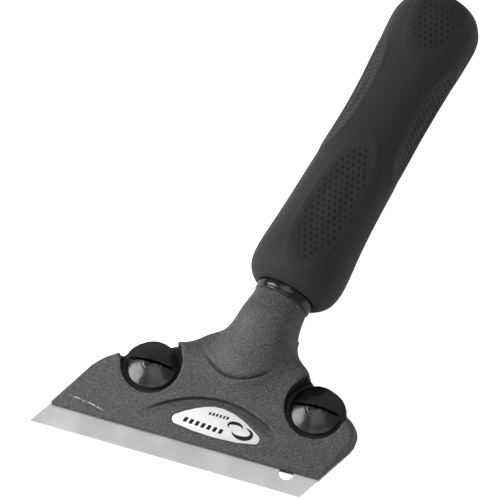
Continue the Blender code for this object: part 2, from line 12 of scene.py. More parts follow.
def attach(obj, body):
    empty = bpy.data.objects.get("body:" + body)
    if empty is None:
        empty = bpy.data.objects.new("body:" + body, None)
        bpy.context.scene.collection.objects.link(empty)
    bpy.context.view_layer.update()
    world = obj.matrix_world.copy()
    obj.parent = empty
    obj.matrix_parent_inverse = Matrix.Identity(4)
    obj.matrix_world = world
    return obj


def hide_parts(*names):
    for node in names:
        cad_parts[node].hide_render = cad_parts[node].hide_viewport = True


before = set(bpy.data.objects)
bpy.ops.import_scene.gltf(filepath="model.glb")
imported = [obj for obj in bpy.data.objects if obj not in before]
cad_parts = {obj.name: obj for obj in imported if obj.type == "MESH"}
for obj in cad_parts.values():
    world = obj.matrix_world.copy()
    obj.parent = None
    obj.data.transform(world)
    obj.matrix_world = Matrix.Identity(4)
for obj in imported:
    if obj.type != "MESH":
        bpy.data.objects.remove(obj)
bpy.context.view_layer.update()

bl_info = {
    "name": "Floor Scraper",
    "version": (1, 0, 0),
    "blender": (4, 5, 0),
    "location": "3D View > Sidebar > Scraper",
    "description": "Builds the finished surfaces of a clamped-blade floor scraper",
    "category": "Add Mesh",
}

MM = 0.001

# Sizes copied from the model, in millimetres and radians
SCREW_X = 30.5
SCREW_SEAT = 5.7
POCKET_FLOOR = 4.8
POCKET_RADIUS = 11.1
BLADE_EDGE_Y = -33.0
HEAD_FRONT_Y = -23.4
HEAD_FRONT_HEIGHT = 4.0
HEAD_SLOPE = math.radians(15.4)
HEAD_LEFT_X = -61.6
HEAD_RIGHT_X = 38.6
BLADE_SKEW = math.radians(30.0)
SEAM = (7.7, 32.1, 16.4)
HANDLE_LEAN = math.radians(11.0)
HANDLE_RISE = math.radians(4.2)
SHANK_END = -5.5
SHANK_RADIUS = 3.0
COLLAR_BORE = 4.15
GRIP_START = 3.8
GRIP_LENGTH = 128.8
GRIP_BORE = 9.15
PLUG_MOUTH = 8.75

# Finished surfaces, in millimetres unless a line says otherwise
# Height above the seat that a screw's slot is measured down from
SLOT_TOP = 4.42
# How far the casting lies under the head's slope below the label
LABEL_SINK = 0.42
# Gap between the clamp plate and the floor
FLOOR_GAP = 0.1
# Arched step over the label, a curve in plan: X and Y of its middle, and its bend
ARCH_X = -1.5
ARCH_Y = -6.8
ARCH_BEND = 0.0142
# Crease round the neck's nose, a curve in plan: X and Y of its middle, and its bend
NOSE_X = 0.2
NOSE_Y = 1.2
NOSE_BEND = 0.036
# Grip: spacing of its rings of points, start of its rounded end, and that end's two radii
GRIP_STEP = 0.41
DOME_START = 116.0
DOME_RADIUS = 16.8
DOME_MOUTH = 9.5
# Share of an inward corner filled in one round, and rounds between fresh normals
FILL_SHARE = 0.95
NORMALS_EVERY = 12
# Rounds of blunting, then the sharp corners beside the pockets: X, Y and the blunting's reach
BLUNT_ROUNDS = 80
POCKET_TIPS = ((-41.0, 0.6, 2.8), (41.4, 1.2, 4.2), (-23.6, 9.4, 5.0), (24.2, 9.4, 5.0))
# Places where the web is eased outward: centre, push and reach
WEB_PUSHES = (((-12.5, 15.0), (-1.2, 2.4), 6.0), ((21.0, 10.5), (1.6, 0.8), 5.0))
# Rings of finger panels: distance along the grip, half length, then half angle and places
# round it in degrees
PANEL_RINGS = ((33.5, 26.0, 31.0, (9.0, 129.0, 249.0)),
               (79.5, 23.0, 28.0, (77.0, 189.0, 301.0)),
               (122.5, 22.0, 33.0, (9.0, 129.0, 249.0)))
# What the lights face, then the camera's place, its directions back and right, and its lens
STAGE_MIDDLE = (-5.0, 50.0, 12.0)
CAMERA_PLACE = (125.7, -278.4, 711.4)
CAMERA_BACK = (0.17286, -0.41969, 0.89106)
CAMERA_RIGHT = (0.95184, 0.30376, -0.04159)
CAMERA_LENS = 155.97


# ---------------------------------------------------------------- settings

def length(name, description, default):
    """A length setting whose default is in millimetres."""
    return FloatProperty(name=name, description=description, default=default * MM,
                         min=0.0, max=200.0 * MM, precision=5, unit="LENGTH", subtype="DISTANCE")


def number(name, description, default, high, **options):
    """A setting for a number from nought up."""
    return FloatProperty(name=name, description=description, default=default,
                         min=0.0, max=high, **options)


def whole(name, description, default, low, high):
    """A setting for a whole number."""
    return IntProperty(name=name, description=description, default=default, min=low, max=high)


def colour(name, description, default):
    """A linear colour setting."""
    return FloatVectorProperty(name=name, description=description, default=default,
                               min=0.0, max=1.0, size=3, subtype="COLOR")


class HeadSettings(bpy.types.PropertyGroup):
    """Sizes of the cast head's finished surface."""

    detail: length("Surface detail", "Spacing of the points on the casting", 0.40)
    side_draft: number("Side draft", "Inward lean of the end walls", 0.27, 0.5)
    fillet_rounds: whole("Fillet rounds", "Smoothing of the neck's roots", 360, 0, 600)
    arch_depth: length("Arch depth", "Depth of the arched step over the label", 0.95)
    crease_depth: length("Crease depth", "Depth of the crease round the neck's nose", 0.70)


class ScrewSettings(bpy.types.PropertyGroup):
    """Sizes of the two clamp screws."""

    head_radius: length("Head radius", "Radius of the screw head", 9.25)
    tooth_count: whole("Rim teeth", "Serrations round the rim", 54, 8, 120)
    tooth_width: length("Tooth width", "Width of one serration", 0.52)
    slot_width: length("Slot width", "Width of the coin slot", 0.85)
    slot_depth: length("Slot depth", "Depth of the coin slot", 2.9)


class GripSettings(bpy.types.PropertyGroup):
    """Sizes of the soft grip's panels and pits."""

    panel_depth: length("Panel depth", "Depth of a finger panel", 1.15)
    rim_height: length("Rim height", "Height of the lip round a panel", 0.30)
    pit_columns: whole("Pit columns", "Pits in one turn", 43, 12, 90)
    pit_spacing: length("Pit spacing", "Distance between rows of pits", 2.35)
    pit_radius: length("Pit radius", "Radius of one pit", 0.55)
    pit_depth: length("Pit depth", "Depth of one pit", 0.42)


class FinishSettings(bpy.types.PropertyGroup):
    """Colours of the finishes."""

    paint: colour("Head paint", "Hammered enamel on the casting", (0.0195, 0.0195, 0.0208))
    fleck: colour("Paint fleck", "Light flecks in the enamel", (0.165, 0.165, 0.172))
    rubber: colour("Rubber", "The grip's outer skin", (0.0225, 0.0222, 0.0207))
    panel: colour("Rubber panels", "The grip's pitted panels", (0.0210, 0.0210, 0.0220))
    steel: colour("Blade steel", "The blade's satin faces", (0.68, 0.674, 0.668))
    silver: colour("Label silver", "The label's film", (0.72, 0.73, 0.74))
    gloss_black: colour("Gloss black", "Screws and collar", (0.0035, 0.0035, 0.004))


class StageSettings(bpy.types.PropertyGroup):
    """Floor, lights and camera."""

    floor: colour("Floor", "Colour of the floor", (0.92, 0.92, 0.92))
    side_light: number("Side light", "Power of the side softbox", 2.3, 100.0, unit="POWER")
    top_light: number("Top light", "Power of the overhead softbox", 4.0, 100.0, unit="POWER")
    room: number("Room light", "Strength of the even light all round", 0.40, 5.0)


# ---------------------------------------------------------------- mesh helpers

def smoothstep(low, high, values):
    """0 below low, 1 above high and a soft ramp between; low may be the larger."""
    share = np.clip((values - low) / (high - low), 0.0, 1.0)
    return share * share * (3.0 - 2.0 * share)


def wedge_height(y):
    """Height of the head's sloping top at a distance along Y, in millimetres."""
    return HEAD_FRONT_HEIGHT + (y - HEAD_FRONT_Y) * math.tan(HEAD_SLOPE)


def handle_place():
    """Frame of the handle in metres: origin at the neck seam, +Z along the handle, +Y up."""
    along = Vector((math.sin(HANDLE_LEAN) * math.cos(HANDLE_RISE),
                    math.cos(HANDLE_LEAN) * math.cos(HANDLE_RISE),
                    math.sin(HANDLE_RISE)))
    across = Vector((math.cos(HANDLE_LEAN), -math.sin(HANDLE_LEAN), 0.0))
    turn = Matrix((-across, along.cross(-across), along)).transposed().to_4x4()
    return Matrix.Translation(Vector(SEAM) * MM) @ turn


def read_points(mesh):
    """Vertex positions as an array with one row each."""
    points = np.empty(len(mesh.vertices) * 3)
    mesh.vertices.foreach_get("co", points)
    return points.reshape(-1, 3)


def write_points(mesh, points):
    """Puts an array's rows back as vertex positions."""
    mesh.vertices.foreach_set("co", points.ravel())
    mesh.update()


def read_normals(mesh):
    """Vertex normals as an array with one row each."""
    normals = np.empty(len(mesh.vertices) * 3)
    mesh.vertex_normals.foreach_get("vector", normals)
    return normals.reshape(-1, 3)


def neighbour_pull(edges, values):
    """Mean of each vertex's neighbours, less its own value."""
    count = len(values)
    share = np.bincount(edges.ravel(), minlength=count)[:, None]
    total = np.empty_like(values)
    for axis in range(values.shape[1]):
        forward = np.bincount(edges[:, 0], values[edges[:, 1], axis], count)
        backward = np.bincount(edges[:, 1], values[edges[:, 0], axis], count)
        total[:, axis] = forward + backward
    return total / np.maximum(share, 1) - values


def read_edges(mesh):
    """Vertex pairs of the edges, one row each."""
    edges = np.empty(len(mesh.edges) * 2, dtype=np.int32)
    mesh.edges.foreach_get("vertices", edges)
    return edges.reshape(-1, 2)


def store(mesh, name, values):
    """Keeps one number for each vertex as a named attribute."""
    attribute = mesh.attributes.new(name, "FLOAT", "POINT")
    attribute.data.foreach_set("value", np.asarray(values, dtype=np.float32))


def store_edge_wear(mesh, reach):
    """Marks outward corners, where a finish thins first, in the attribute edge."""
    edges = read_edges(mesh)
    points = read_points(mesh)
    pull = neighbour_pull(edges, points)
    bulge = -(pull * read_normals(mesh)).sum(axis=1, keepdims=True) / reach
    for _ in range(2):
        bulge += 0.6 * neighbour_pull(edges, bulge)
    store(mesh, "edge", np.clip(bulge[:, 0], 0.0, 1.0))


def face_outward(mesh):
    """Merges doubles and turns every face of a closed mesh outward."""
    shell = bmesh.new()
    shell.from_mesh(mesh)
    bmesh.ops.remove_doubles(shell, verts=shell.verts, dist=0.002 * MM)
    bmesh.ops.recalc_face_normals(shell, faces=shell.faces)
    shell.to_mesh(mesh)
    shell.free()


def end_shell(shell, name):
    """The mesh that a bmesh holds; the bmesh is freed."""
    mesh = bpy.data.meshes.new(name)
    shell.to_mesh(mesh)
    shell.free()
    return mesh


def new_object(name, mesh):
    """Links a mesh to the scene as an object of its own."""
    piece = bpy.data.objects.new(name, mesh)
    bpy.context.scene.collection.objects.link(piece)
    return piece


def settle(piece):
    """Replaces an object's mesh and modifiers by the plain mesh that they give."""
    graph = bpy.context.evaluated_depsgraph_get()
    mesh = bpy.data.meshes.new_from_object(piece.evaluated_get(graph), depsgraph=graph)
    mesh.name = piece.name
    piece.modifiers.clear()
    piece.data = mesh
    return mesh


def round_edges(piece, name, width, angle):
    """Adds a narrow bevel on edges sharper than an angle in degrees; the width is in millimetres."""
    edge = piece.modifiers.new(name, "BEVEL")
    edge.width = width * MM
    edge.segments = 2
    edge.limit_method = "ANGLE"
    edge.angle_limit = math.radians(angle)


def smooth_faces(mesh, angle=32.0):
    """Smooth shading that breaks at edges sharper than an angle in degrees."""
    mesh.shade_smooth()
    mesh.set_sharp_from_angle(angle=math.radians(angle))


def lathe(name, profile, steps, place):
    """A closed turned shape. The profile is (radius, height) in millimetres, and may touch the axis."""
    vertices = []
    rings = []
    for radius, height in profile:
        count = 1 if radius == 0.0 else steps
        rings.append([len(vertices) + step % count for step in range(steps)])
        for step in range(count):
            turn = 2.0 * math.pi * step / steps
            vertices.append((radius * math.cos(turn) * MM, radius * math.sin(turn) * MM,
                             height * MM))
    closed = profile[0][0] > 0.0 or profile[-1][0] > 0.0
    pairs = list(zip(rings, rings[1:]))
    if closed:
        pairs.append((rings[-1], rings[0]))
    faces = []
    for low, high in pairs:
        for step in range(steps):
            after = (step + 1) % steps
            corners = [low[step], low[after], high[after], high[step]]
            corners = list(dict.fromkeys(corners))
            if len(corners) > 2:
                faces.append(corners)
    mesh = bpy.data.meshes.new(name)
    mesh.from_pydata(vertices, [], faces)
    face_outward(mesh)
    mesh.transform(place)
    return mesh


def paint(piece, material):
    """Gives a piece one material."""
    piece.data.materials.clear()
    piece.data.materials.append(material)


def dress(piece, body, material, node=None):
    """Gives a finished piece its material and its body, and hides the node it stands for."""
    paint(piece, material)
    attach(piece, body)
    if node:
        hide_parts(node)


def repaint(material, *nodes):
    """Gives carried-over nodes their material."""
    for node in nodes:
        paint(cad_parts[node], material)


# ---------------------------------------------------------------- node helpers

class Recipe:
    """Adds nodes to one tree, with inputs given by name, by number or as another node's output."""

    def __init__(self, tree):
        self.tree = tree

    def add(self, kind, settings=None, **inputs):
        """One node. Settings are the node's own options, the rest are its inputs."""
        node = self.tree.nodes.new(kind)
        for key, value in (settings or {}).items():
            setattr(node, key, value)
        for key, value in inputs.items():
            self.feed(node, key.replace("_", " "), value)
        return node

    def noise(self, scale, detail, roughness=0.5):
        """Output of a noise texture on object coordinates."""
        return self.add("ShaderNodeTexNoise", Vector=self.place(), Scale=scale, Detail=detail,
                        Roughness=roughness).outputs[0]

    def axis(self, name):
        """One of the object coordinates."""
        return self.add("ShaderNodeSeparateXYZ", Vector=self.place()).outputs[name]

    def feed(self, node, key, value):
        """Links or sets one input of a node."""
        socket = node.inputs[key]
        if isinstance(value, bpy.types.NodeSocket):
            self.tree.links.new(value, socket)
        else:
            socket.default_value = value

    def math(self, operation, *values, clamp=False):
        """Output of a Math node."""
        node = self.add("ShaderNodeMath", {"operation": operation, "use_clamp": clamp})
        for place, value in enumerate(values):
            self.feed(node, place, value)
        return node.outputs[0]

    def times(self, first, second):
        """Product of two values."""
        return self.math("MULTIPLY", first, second)

    def plus(self, first, second):
        """Sum of two values."""
        return self.math("ADD", first, second)

    def less(self, first, second, clamp=False):
        """First value less the second."""
        return self.math("SUBTRACT", first, second, clamp=clamp)

    def over(self, first, second):
        """First value over the second."""
        return self.math("DIVIDE", first, second)

    def ramp(self, value, low, high, start=0.0, end=1.0):
        """Output of a smooth Map Range node."""
        node = self.add("ShaderNodeMapRange", {"interpolation_type": "SMOOTHSTEP"}, Value=value)
        for key, limit in (("From Min", low), ("From Max", high),
                           ("To Min", start), ("To Max", end)):
            self.feed(node, key, limit)
        return node.outputs[0]

    def blend(self, share, first, second):
        """Output of a Mix node on colours."""
        node = self.add("ShaderNodeMix", {"data_type": "RGBA"})
        self.feed(node, 0, share)
        self.feed(node, 6, tint(first))
        self.feed(node, 7, tint(second))
        return node.outputs[2]

    def attribute(self, name):
        """Output of a named attribute."""
        return self.add("ShaderNodeAttribute", {"attribute_name": name}).outputs["Fac"]

    def place(self):
        """Object coordinates."""
        return self.add("ShaderNodeTexCoord").outputs["Object"]


def tint(value):
    """A colour with its alpha, where it is a plain colour."""
    if isinstance(value, bpy.types.NodeSocket):
        return value
    return (*tuple(value)[:3], 1.0)


def new_group(name, inputs, outputs):
    """A shader node group with named float inputs and outputs, and its recipe."""
    tree = bpy.data.node_groups.new(name, "ShaderNodeTree")
    for key, default in inputs.items():
        socket = tree.interface.new_socket(key, in_out="INPUT", socket_type="NodeSocketFloat")
        socket.default_value = default
    for key in outputs:
        tree.interface.new_socket(key, in_out="OUTPUT", socket_type="NodeSocketFloat")
    recipe = Recipe(tree)
    return recipe, recipe.add("NodeGroupInput"), recipe.add("NodeGroupOutput")


def grain_group():
    """Fine moulded or cast grain: a height for bump and a mask for tone, by object coordinates."""
    if "surface_grain" in bpy.data.node_groups:
        return bpy.data.node_groups["surface_grain"]
    recipe, source, result = new_group("surface_grain", {"Grain Size": 0.0004, "Patch Size": 0.01},
                                       ("Height", "Patches"))
    fine = recipe.noise(recipe.over(1.0, source.outputs["Grain Size"]), 3.0, 0.6)
    broad = recipe.noise(recipe.over(1.0, source.outputs["Patch Size"]), 4.0, 0.55)
    recipe.feed(result, "Height", fine)
    recipe.feed(result, "Patches", recipe.ramp(broad, 0.32, 0.68))
    return recipe.tree


def wear_group():
    """Wear along outward corners: the edge attribute broken up by noise."""
    if "edge_wear" in bpy.data.node_groups:
        return bpy.data.node_groups["edge_wear"]
    recipe, source, result = new_group("edge_wear", {"Amount": 0.5, "Break Up": 0.0015}, ("Mask",))
    noise = recipe.noise(recipe.over(1.0, source.outputs["Break Up"]), 5.0, 0.7)
    reach = recipe.times(recipe.attribute("edge"), source.outputs["Amount"])
    worn = recipe.less(recipe.plus(reach, noise), 0.62)
    mask = recipe.times(recipe.ramp(worn, 0.0, 0.25), recipe.ramp(reach, 0.02, 0.2))
    recipe.feed(result, "Mask", mask)
    return recipe.tree


def brush_group():
    """Long fine lines along X, for rolled metal."""
    if "brushed_lines" in bpy.data.node_groups:
        return bpy.data.node_groups["brushed_lines"]
    recipe, source, result = new_group("brushed_lines", {"Line Width": 0.0002, "Stretch": 30.0},
                                       ("Height",))
    squeeze = recipe.add("ShaderNodeCombineXYZ", Y=1.0, Z=1.0,
                         X=recipe.over(1.0, source.outputs["Stretch"]))
    stretched = recipe.add("ShaderNodeVectorMath", {"operation": "MULTIPLY"})
    recipe.feed(stretched, 0, recipe.place())
    recipe.feed(stretched, 1, squeeze.outputs[0])
    lines = recipe.add("ShaderNodeTexNoise", Vector=stretched.outputs[0], Detail=3.0,
                       Scale=recipe.over(1.0, source.outputs["Line Width"]))
    recipe.feed(result, "Height", lines.outputs[0])
    return recipe.tree


def new_material(name, **constants):
    """A material with a Principled shader whose plain inputs are set on its own sockets."""
    material = bpy.data.materials.new(name)
    material.use_nodes = True
    recipe = Recipe(material.node_tree)
    shader = material.node_tree.nodes["Principled BSDF"]
    for key, value in constants.items():
        recipe.feed(shader, key.replace("_", " "), value)
    return material, recipe, shader


def place_group(recipe, group, **inputs):
    """One use of a shader group with its own values."""
    return recipe.add("ShaderNodeGroup", {"node_tree": group}, **inputs).outputs


def place_grain(recipe, grain_size, patch_size):
    """One use of the surface grain; both sizes are in millimetres."""
    return place_group(recipe, grain_group(), Grain_Size=grain_size * MM,
                       Patch_Size=patch_size * MM)


def cloud_roughness(recipe, shader, patches, low, high):
    """Lets the roughness drift between two values with a cloudy mask."""
    recipe.feed(shader, "Roughness", recipe.ramp(patches, 0.0, 1.0, low, high))


def bump(recipe, shader, height, distance, strength):
    """Feeds a height into the shader's normal."""
    node = recipe.add("ShaderNodeBump", Height=height, Distance=distance, Strength=strength)
    recipe.feed(shader, "Normal", node.outputs[0])


# ---------------------------------------------------------------- materials

def scuff_mark(recipe):
    """Mask of one broken scratch across the left wing of the casting."""
    across = recipe.plus(recipe.axis("X"), 48.5 * MM)
    bend = recipe.times(recipe.times(across, across), -9.0)
    drop = recipe.times(across, -0.14)
    middle = recipe.plus(recipe.plus(bend, drop), -19.6 * MM)
    off = recipe.math("ABSOLUTE", recipe.less(recipe.axis("Y"), middle))
    line = recipe.ramp(off, 0.3 * MM, 0.1 * MM)
    ends = recipe.ramp(recipe.math("ABSOLUTE", across), 7.6 * MM, 6.0 * MM)
    broken = recipe.ramp(recipe.noise(1500.0, 3.0), 0.42, 0.62)
    upward = recipe.ramp(recipe.axis("Z"), 3.4 * MM, 3.8 * MM)
    return recipe.times(recipe.times(line, ends), recipe.times(broken, upward))


def hammered_paint(finish):
    """Dark grey enamel with light flecks, pale where corners have rubbed, with painted shade in the
    screw pockets and creases.
    """
    material, recipe, shader = new_material("hammered_paint", Metallic=0.0,
                                            Specular_IOR_Level=0.4)
    grain = place_grain(recipe, 0.42, 11.0)
    wear = place_group(recipe, wear_group(), Amount=0.75, Break_Up=0.0016)
    bright = recipe.ramp(recipe.noise(3400.0, 2.0, 0.75), 0.45, 0.72)
    ground = recipe.blend(recipe.times(grain["Patches"], 0.35), finish.paint,
                          [1.25 * part for part in finish.paint])
    flecked = recipe.blend(bright, ground, finish.fleck)
    rubbed = recipe.blend(recipe.times(wear["Mask"], 0.35), flecked, (0.2, 0.2, 0.21))
    scuffed = recipe.blend(scuff_mark(recipe), rubbed, (0.45, 0.45, 0.46))
    # Painted shade: the enamel darkens to near black in the screw pockets and along the creases
    hollow_shade = recipe.math("MAXIMUM", recipe.times(recipe.attribute("pocket"), 0.88),
                         recipe.times(recipe.attribute("crease"), 0.95))
    shaded = recipe.blend(hollow_shade, scuffed, (0.004, 0.004, 0.0045))
    recipe.feed(shader, "Base Color", shaded)
    cloud_roughness(recipe, shader, grain["Patches"], 0.50, 0.60)
    bump(recipe, shader, grain["Height"], 0.00020, 0.8)
    return material


def soft_rubber(finish):
    """Matte black elastomer, a shade cooler in the pitted panels, with painted shade in the pits."""
    material, recipe, shader = new_material("soft_rubber", Metallic=0.0, Sheen_Weight=0.05,
                                            Sheen_Roughness=0.5, Specular_IOR_Level=0.15)
    grain = place_grain(recipe, 0.3, 18.0)
    skin = recipe.blend(recipe.times(grain["Patches"], 0.4), finish.rubber,
                        [1.3 * part for part in finish.rubber])
    panelled = recipe.blend(recipe.attribute("panel"), skin, finish.panel)
    # Painted shade: each pit darkens towards black
    pitted = recipe.blend(recipe.times(recipe.attribute("pit"), 0.9), panelled,
                          (0.002, 0.002, 0.002))
    recipe.feed(shader, "Base Color", pitted)
    cloud_roughness(recipe, shader, grain["Patches"], 0.60, 0.70)
    bump(recipe, shader, grain["Height"], 0.00005, 0.5)
    return material


def gloss_black(name, finish, roughness, coat):
    """Glossy black plating with faint handling marks and rubbed corners, and painted shade in the coin
    slot.
    """
    material, recipe, shader = new_material(name, Metallic=0.0, Coat_Roughness=0.12)
    grain = place_grain(recipe, 0.9, 4.0)
    wear = place_group(recipe, wear_group(), Amount=0.6, Break_Up=0.0008)
    slot = recipe.attribute("slot")
    rubbed = recipe.blend(recipe.times(wear["Mask"], 0.4), finish.gloss_black,
                          (0.12, 0.12, 0.125))
    # Painted shade: the coin slot turns near black and loses its coat and shine
    recipe.feed(shader, "Base Color", recipe.blend(slot, rubbed, (0.001, 0.001, 0.001)))
    recipe.feed(shader, "Coat Weight", recipe.ramp(slot, 0.0, 1.0, coat, 0.0))
    recipe.feed(shader, "Specular IOR Level", recipe.ramp(slot, 0.0, 1.0, 0.4, 0.05))
    cloud_roughness(recipe, shader, grain["Patches"], roughness, roughness + 0.1)
    bump(recipe, shader, grain["Height"], 0.00003, 0.4)
    return material


def rolled_steel(name, colours, roughness, line_width, bevel=False):
    """Satin metal with fine lines along X; the blade's ground bevel is paler and finer."""
    material, recipe, shader = new_material(name, Metallic=1.0)
    lines = place_group(recipe, brush_group(), Line_Width=line_width, Stretch=40.0)
    grain = place_grain(recipe, 0.6, 14.0)
    tone = recipe.blend(recipe.ramp(lines["Height"], 0.3, 0.7), colours[0], colours[1])
    rough = recipe.ramp(grain["Patches"], 0.0, 1.0, roughness, roughness + 0.07)
    if bevel:
        ground = recipe.ramp(recipe.axis("Y"), (BLADE_EDGE_Y + 1.9) * MM,
                             (BLADE_EDGE_Y + 1.5) * MM)
        tone = recipe.blend(ground, tone, (0.95, 0.95, 0.95))
        rough = recipe.less(rough, recipe.times(ground, 0.08))
    recipe.feed(shader, "Base Color", tone)
    recipe.feed(shader, "Roughness", rough)
    bump(recipe, shader, lines["Height"], 0.000006, 0.25)
    return material


def dull_black(name, tone, roughness):
    """Plain black oxide or filled nylon with a faint cloud and grain."""
    material, recipe, shader = new_material(name, Metallic=0.0, Specular_IOR_Level=0.25)
    grain = place_grain(recipe, 0.4, 5.0)
    recipe.feed(shader, "Base Color", recipe.blend(grain["Patches"], (tone, tone, tone),
                                                   (1.5 * tone, 1.5 * tone, 1.5 * tone)))
    cloud_roughness(recipe, shader, grain["Patches"], roughness, roughness + 0.12)
    bump(recipe, shader, grain["Height"], 0.00004, 0.5)
    return material


def label_film(finish):
    """Silvered film, a little clouded, darker towards its right end."""
    material, recipe, shader = new_material("label_film", Metallic=0.35, Coat_Weight=0.3,
                                            Coat_Roughness=0.2)
    grain = place_grain(recipe, 0.5, 6.0)
    shade = recipe.ramp(recipe.axis("X"), -12.0 * MM, 16.0 * MM, 0.0, 0.45)
    cloudy = recipe.blend(recipe.times(grain["Patches"], 0.3), finish.silver,
                          [0.82 * part for part in finish.silver])
    recipe.feed(shader, "Base Color", recipe.blend(shade, cloudy, (0.33, 0.33, 0.35)))
    cloud_roughness(recipe, shader, grain["Patches"], 0.3, 0.42)
    bump(recipe, shader, grain["Height"], 0.00001, 0.4)
    return material


# ---------------------------------------------------------------- geometry node trees

def new_geometry_tree(name, inputs):
    """A geometry node tree with a geometry input, named inputs and its recipe."""
    tree = bpy.data.node_groups.new(name, "GeometryNodeTree")
    tree.interface.new_socket("Geometry", in_out="INPUT", socket_type="NodeSocketGeometry")
    for key, kind in inputs.items():
        tree.interface.new_socket(key, in_out="INPUT", socket_type="NodeSocket" + kind)
    tree.interface.new_socket("Geometry", in_out="OUTPUT", socket_type="NodeSocketGeometry")
    recipe = Recipe(tree)
    return recipe, recipe.add("NodeGroupInput").outputs, recipe.add("NodeGroupOutput")


def end_tree(recipe, geometry, material, result):
    """Realizes the instances, sets the material and feeds the tree's output."""
    real = recipe.add("GeometryNodeRealizeInstances", Geometry=geometry)
    painted = recipe.add("GeometryNodeSetMaterial", Geometry=real.outputs[0], Material=material)
    recipe.feed(result, "Geometry", painted.outputs[0])


def apply_tree(piece, tree, values):
    """Runs a geometry node tree on an object and keeps the plain mesh."""
    modifier = piece.modifiers.new(tree.name, "NODES")
    modifier.node_group = tree
    for item in tree.interface.items_tree:
        if item.in_out == "INPUT" and item.name in values:
            modifier[item.identifier] = values[item.name]
    return settle(piece)


def serration_tree():
    """Tapered teeth stood round a rim, joined to the piece that comes in."""
    recipe, source, result = new_geometry_tree("rim_serrations", {
        "Count": "Int", "Rim Radius": "Float", "Tooth Width": "Float", "Tooth Height": "Float",
        "Centre": "Vector", "Material": "Material"})
    circle = recipe.add("GeometryNodeMeshCircle", Vertices=source["Count"],
                        Radius=source["Rim Radius"])
    tooth = recipe.add("GeometryNodeMeshCone", Vertices=6, Side_Segments=1, Fill_Segments=1,
                       Radius_Top=recipe.times(source["Tooth Width"], 0.36),
                       Radius_Bottom=recipe.times(source["Tooth Width"], 0.5),
                       Depth=source["Tooth Height"])
    index = recipe.add("GeometryNodeInputIndex").outputs[0]
    turn = recipe.over(recipe.times(index, 2.0 * math.pi), source["Count"])
    spin = recipe.add("ShaderNodeCombineXYZ", Z=turn)
    stood = recipe.add("GeometryNodeInstanceOnPoints", Points=circle.outputs[0],
                       Instance=tooth.outputs["Mesh"], Rotation=spin.outputs[0])
    moved = recipe.add("GeometryNodeTransform", Geometry=stood.outputs[0],
                       Translation=source["Centre"])
    both = recipe.add("GeometryNodeJoinGeometry")
    recipe.tree.links.new(source["Geometry"], both.inputs[0])
    recipe.tree.links.new(moved.outputs[0], both.inputs[0])
    end_tree(recipe, both.outputs[0], source["Material"], result)
    return recipe.tree


def pit_tree():
    """Staggered rows of pits pressed into the panels of a sleeve, by its around and along."""
    recipe, source, result = new_geometry_tree("grip_pits", {
        "Columns": "Int", "Row Spacing": "Float", "Pit Radius": "Float", "Pit Depth": "Float",
        "Material": "Material"})
    named = {}
    for key in ("around", "along", "panel", "girth"):
        node = recipe.add("GeometryNodeInputNamedAttribute", {"data_type": "FLOAT"}, Name=key)
        named[key] = node.outputs["Attribute"]
    row = recipe.over(named["along"], source["Row Spacing"])
    nearest = recipe.math("ROUND", row)
    off_row = recipe.times(recipe.less(row, nearest), source["Row Spacing"])
    stagger = recipe.times(recipe.math("MODULO", nearest, 2.0), 0.5)
    column = recipe.plus(recipe.times(named["around"], source["Columns"]), stagger)
    off_column = recipe.less(column, recipe.math("ROUND", column))
    pitch = recipe.over(named["girth"], source["Columns"])
    sideways = recipe.times(off_column, pitch)
    reach = recipe.math("SQRT", recipe.plus(recipe.times(off_row, off_row),
                                            recipe.times(sideways, sideways)))
    near = recipe.less(1.0, recipe.over(reach, source["Pit Radius"]), clamp=True)
    bowl = recipe.math("SMOOTH_MIN", recipe.times(near, 1.8), 1.0, 0.2)
    pit = recipe.times(bowl, recipe.ramp(named["panel"], 0.75, 0.95))
    sink = recipe.times(pit, recipe.times(source["Pit Depth"], -1.0))
    inward = recipe.add("ShaderNodeVectorMath", {"operation": "SCALE"}, Scale=sink)
    recipe.feed(inward, 0, recipe.add("GeometryNodeInputNormal").outputs[0])
    # The pit mask also gives the rubber its painted shade in the pits
    kept = recipe.add("GeometryNodeStoreNamedAttribute", {"data_type": "FLOAT", "domain": "POINT"},
                      Geometry=source["Geometry"], Name="pit", Value=pit)
    pressed = recipe.add("GeometryNodeSetPosition", Geometry=kept.outputs[0],
                         Offset=inward.outputs[0])
    end_tree(recipe, pressed.outputs[0], source["Material"], result)
    return recipe.tree


# ---------------------------------------------------------------- pieces

def leaf_outline(grow):
    """Outline of the label in plan: a low rounded triangle, in millimetres."""
    round_off = 1.7
    core = np.array(((-15.7, -16.8), (-12.8, -14.9), (-9.5, -13.2), (-6.3, -11.9), (-3.6, -11.2),
                     (-0.8, -11.1), (3.0, -11.7), (6.9, -13.1), (10.2, -14.8), (13.0, -16.5),
                     (7.0, -17.5), (-1.0, -17.9), (-9.0, -17.6)))
    outline = []
    for step in range(120):
        way = np.array((math.cos(math.pi * step / 60.0), math.sin(math.pi * step / 60.0)))
        furthest = core[np.argmax(core @ way)]
        outline.append(tuple(furthest + (round_off + grow) * way))
    return outline


def inside_outline(x, y, outline):
    """True for points inside an outline whose upper and lower halves run along X."""
    half = len(outline) // 2
    upper = sorted(outline[:half + 1])
    lower = sorted(outline[half:] + outline[:1])
    top = np.interp(x, [point[0] for point in upper], [point[1] for point in upper],
                    left=-1e3, right=-1e3)
    floor = np.interp(x, [point[0] for point in lower], [point[1] for point in lower],
                      left=1e3, right=1e3)
    return (y < top) & (y > floor)


